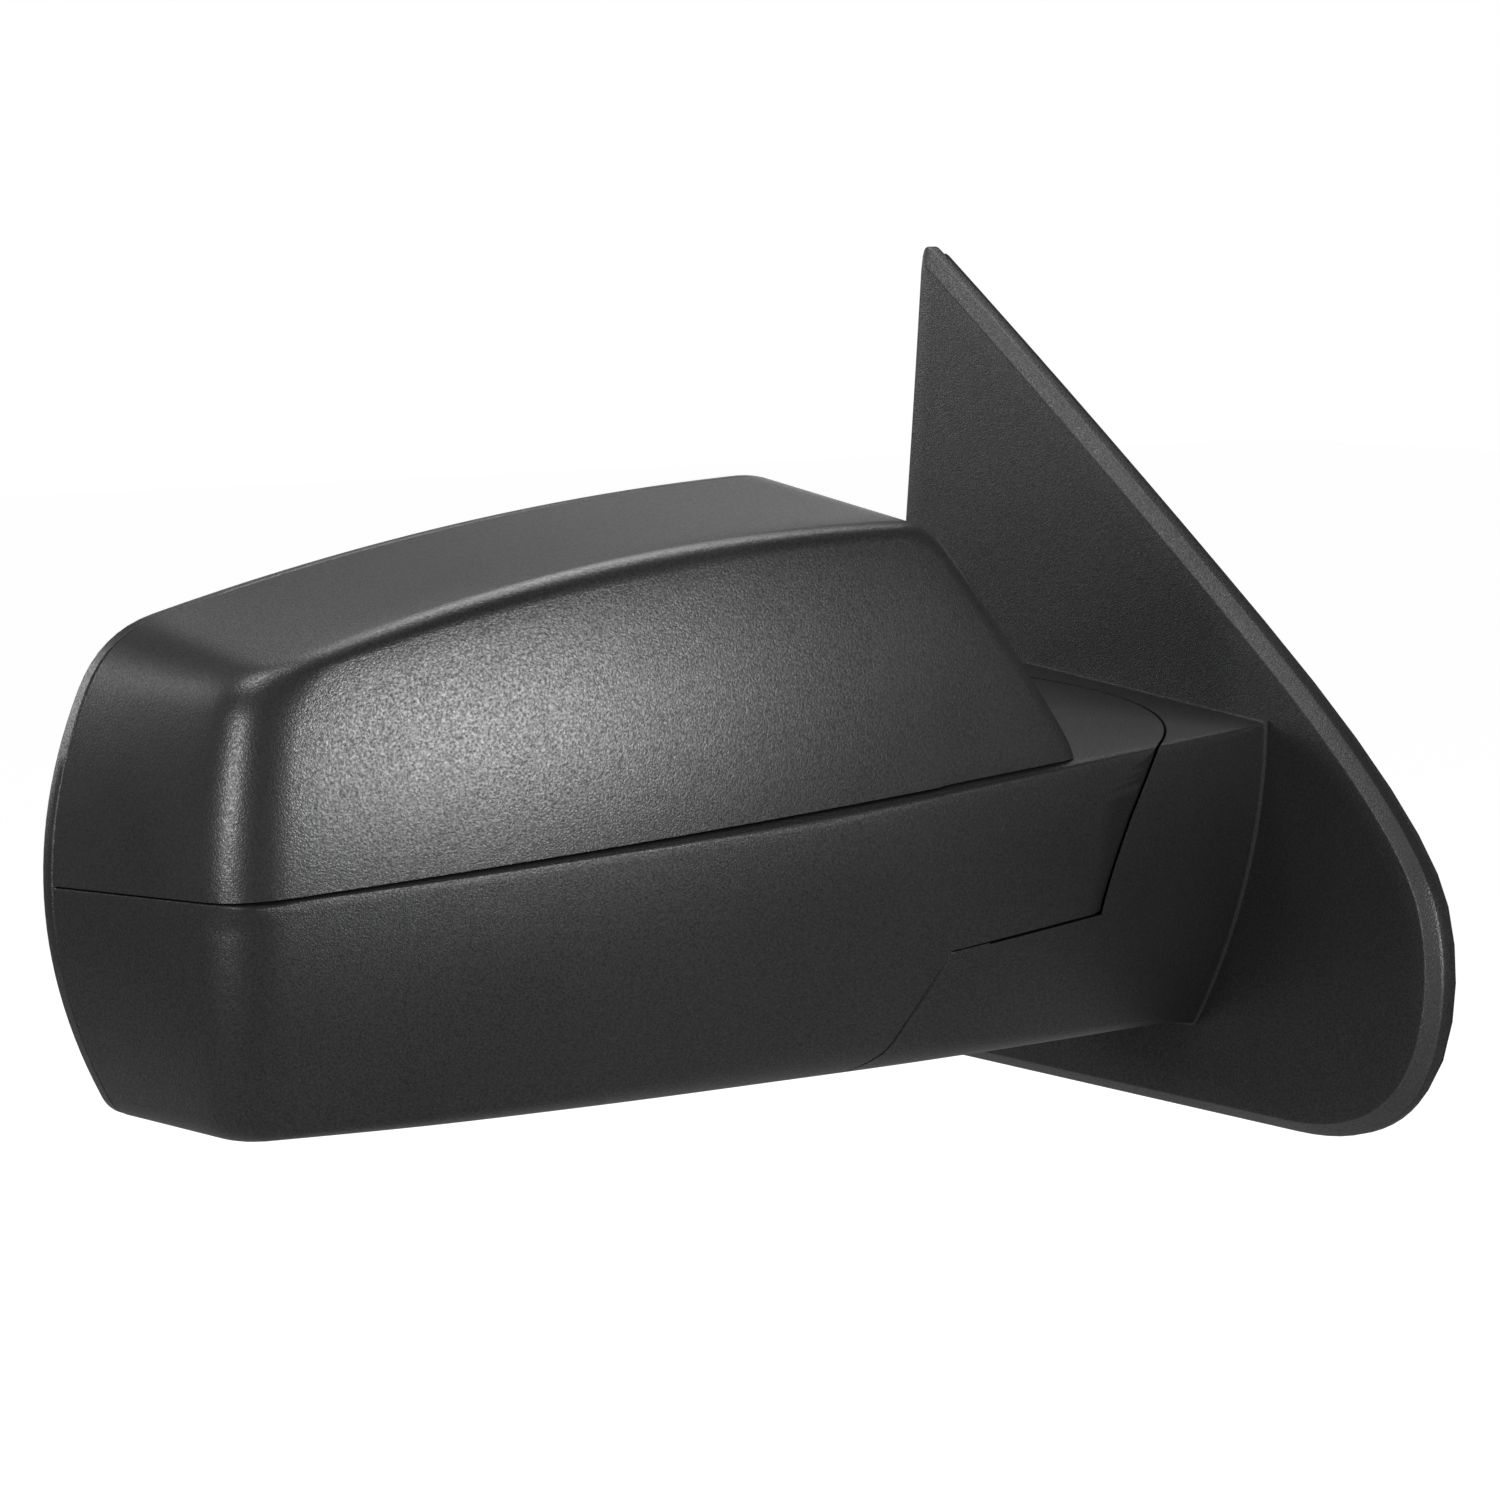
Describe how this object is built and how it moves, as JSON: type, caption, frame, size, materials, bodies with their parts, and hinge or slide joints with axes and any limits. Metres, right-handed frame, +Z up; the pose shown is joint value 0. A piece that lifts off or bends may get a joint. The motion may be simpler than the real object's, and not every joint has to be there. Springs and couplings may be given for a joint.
{
  "type": "car side mirror",
  "caption": "Folding power side mirror for a pickup right door: angular shell head on an arm over a triangular sail plate, with convex heated glass on a ball-pushed gimbal.",
  "frame": {"origin": "on the gasket's door face, level with the middle of the arm", "axes": "+X into the door, -X outboard, -Y to the front of the car, +Y to the rear where the glass faces, +Z up"},
  "size_m": [0.4099, 0.2764, 0.2786],
  "materials": {
    "grained_plastic": "coarse grain, black",
    "satin_plastic": "fine grain, black",
    "inner_plastic": "moulded, black",
    "foam": "closed-cell foam",
    "rubber": "moulded",
    "cast": "die-cast",
    "steel": "zinc-plated",
    "acetal": "natural",
    "heater": "film",
    "mirror": "convex mirror"
  },
  "bodies": {
    "base": {"foot_cover": "satin_plastic", "base_bracket": "cast", "gasket": "foam", "stud_1": "steel", "stud_2": "steel", "stud_3": "steel", "wire_grommet": "rubber", "pivot_post": "steel", "thrust_washer": "acetal", "fold_spring": "steel", "spring_retainer": "steel"},
    "head": {"lower_housing": "satin_plastic", "mirror_cap": "grained_plastic", "rear_bezel": "satin_plastic", "head_frame": "cast", "hub_bush": "acetal", "actuator_housing": "inner_plastic", "actuator_cover": "inner_plastic", "frame_screw_1": "steel", "frame_screw_2": "steel", "frame_screw_3": "steel", "frame_screw_4": "steel", "tilt_motor": "steel", "pan_motor": "steel"},
    "gimbal": {"gimbal_ring": "acetal"},
    "glass": {"glass_holder": "inner_plastic", "heater_pad": "heater", "mirror_glass": "mirror"},
    "tilt_plunger": {"tilt_plunger": "acetal"},
    "pan_plunger": {"pan_plunger": "acetal"},
    "tilt_drive": {"tilt_drive_gear": "acetal"},
    "pan_drive": {"pan_drive_gear": "acetal"}
  },
  "joints": [
    {"name": "fold", "type": "hinge", "parent": "base", "child": "head", "pos_m": [-0.095, -0.022, -0.008], "axis": [-0.1045, 0, 0.9945], "range_deg": [-65, 40]},
    {"name": "glass_pan", "type": "hinge", "parent": "head", "child": "gimbal", "pos_m": [-0.247, 0.004, 0.033], "axis": [0, 0, 1], "range_deg": [-8, 8]},
    {"name": "glass_tilt", "type": "hinge", "parent": "gimbal", "child": "glass", "pos_m": [-0.247, 0.004, 0.033], "axis": [1, 0, 0], "range_deg": [-8, 8]},
    {"name": "tilt_push", "type": "slide", "parent": "head", "child": "tilt_plunger", "axis": [0, 1, 0], "range_m": [-0.0056, 0.0056]},
    {"name": "pan_push", "type": "slide", "parent": "head", "child": "pan_plunger", "axis": [0, 1, 0], "range_m": [-0.0056, 0.0056]},
    {"name": "tilt_nut_turn", "type": "hinge", "parent": "head", "child": "tilt_drive", "pos_m": [-0.247, -0.021, 0.071], "axis": [0, 1, 0], "range_deg": [-485, 485]},
    {"name": "pan_nut_turn", "type": "hinge", "parent": "head", "child": "pan_drive", "pos_m": [-0.285, -0.021, 0.033], "axis": [0, 1, 0], "range_deg": [-485, 485]}
  ],
  "couplings": [
    {"joint": "tilt_push", "follows": "glass_tilt", "m_per_rad": -0.038},
    {"joint": "pan_push", "follows": "glass_pan", "m_per_rad": -0.038},
    {"joint": "tilt_nut_turn", "follows": "glass_tilt", "ratio": -59.69},
    {"joint": "pan_nut_turn", "follows": "glass_pan", "ratio": -59.69}
  ]
}
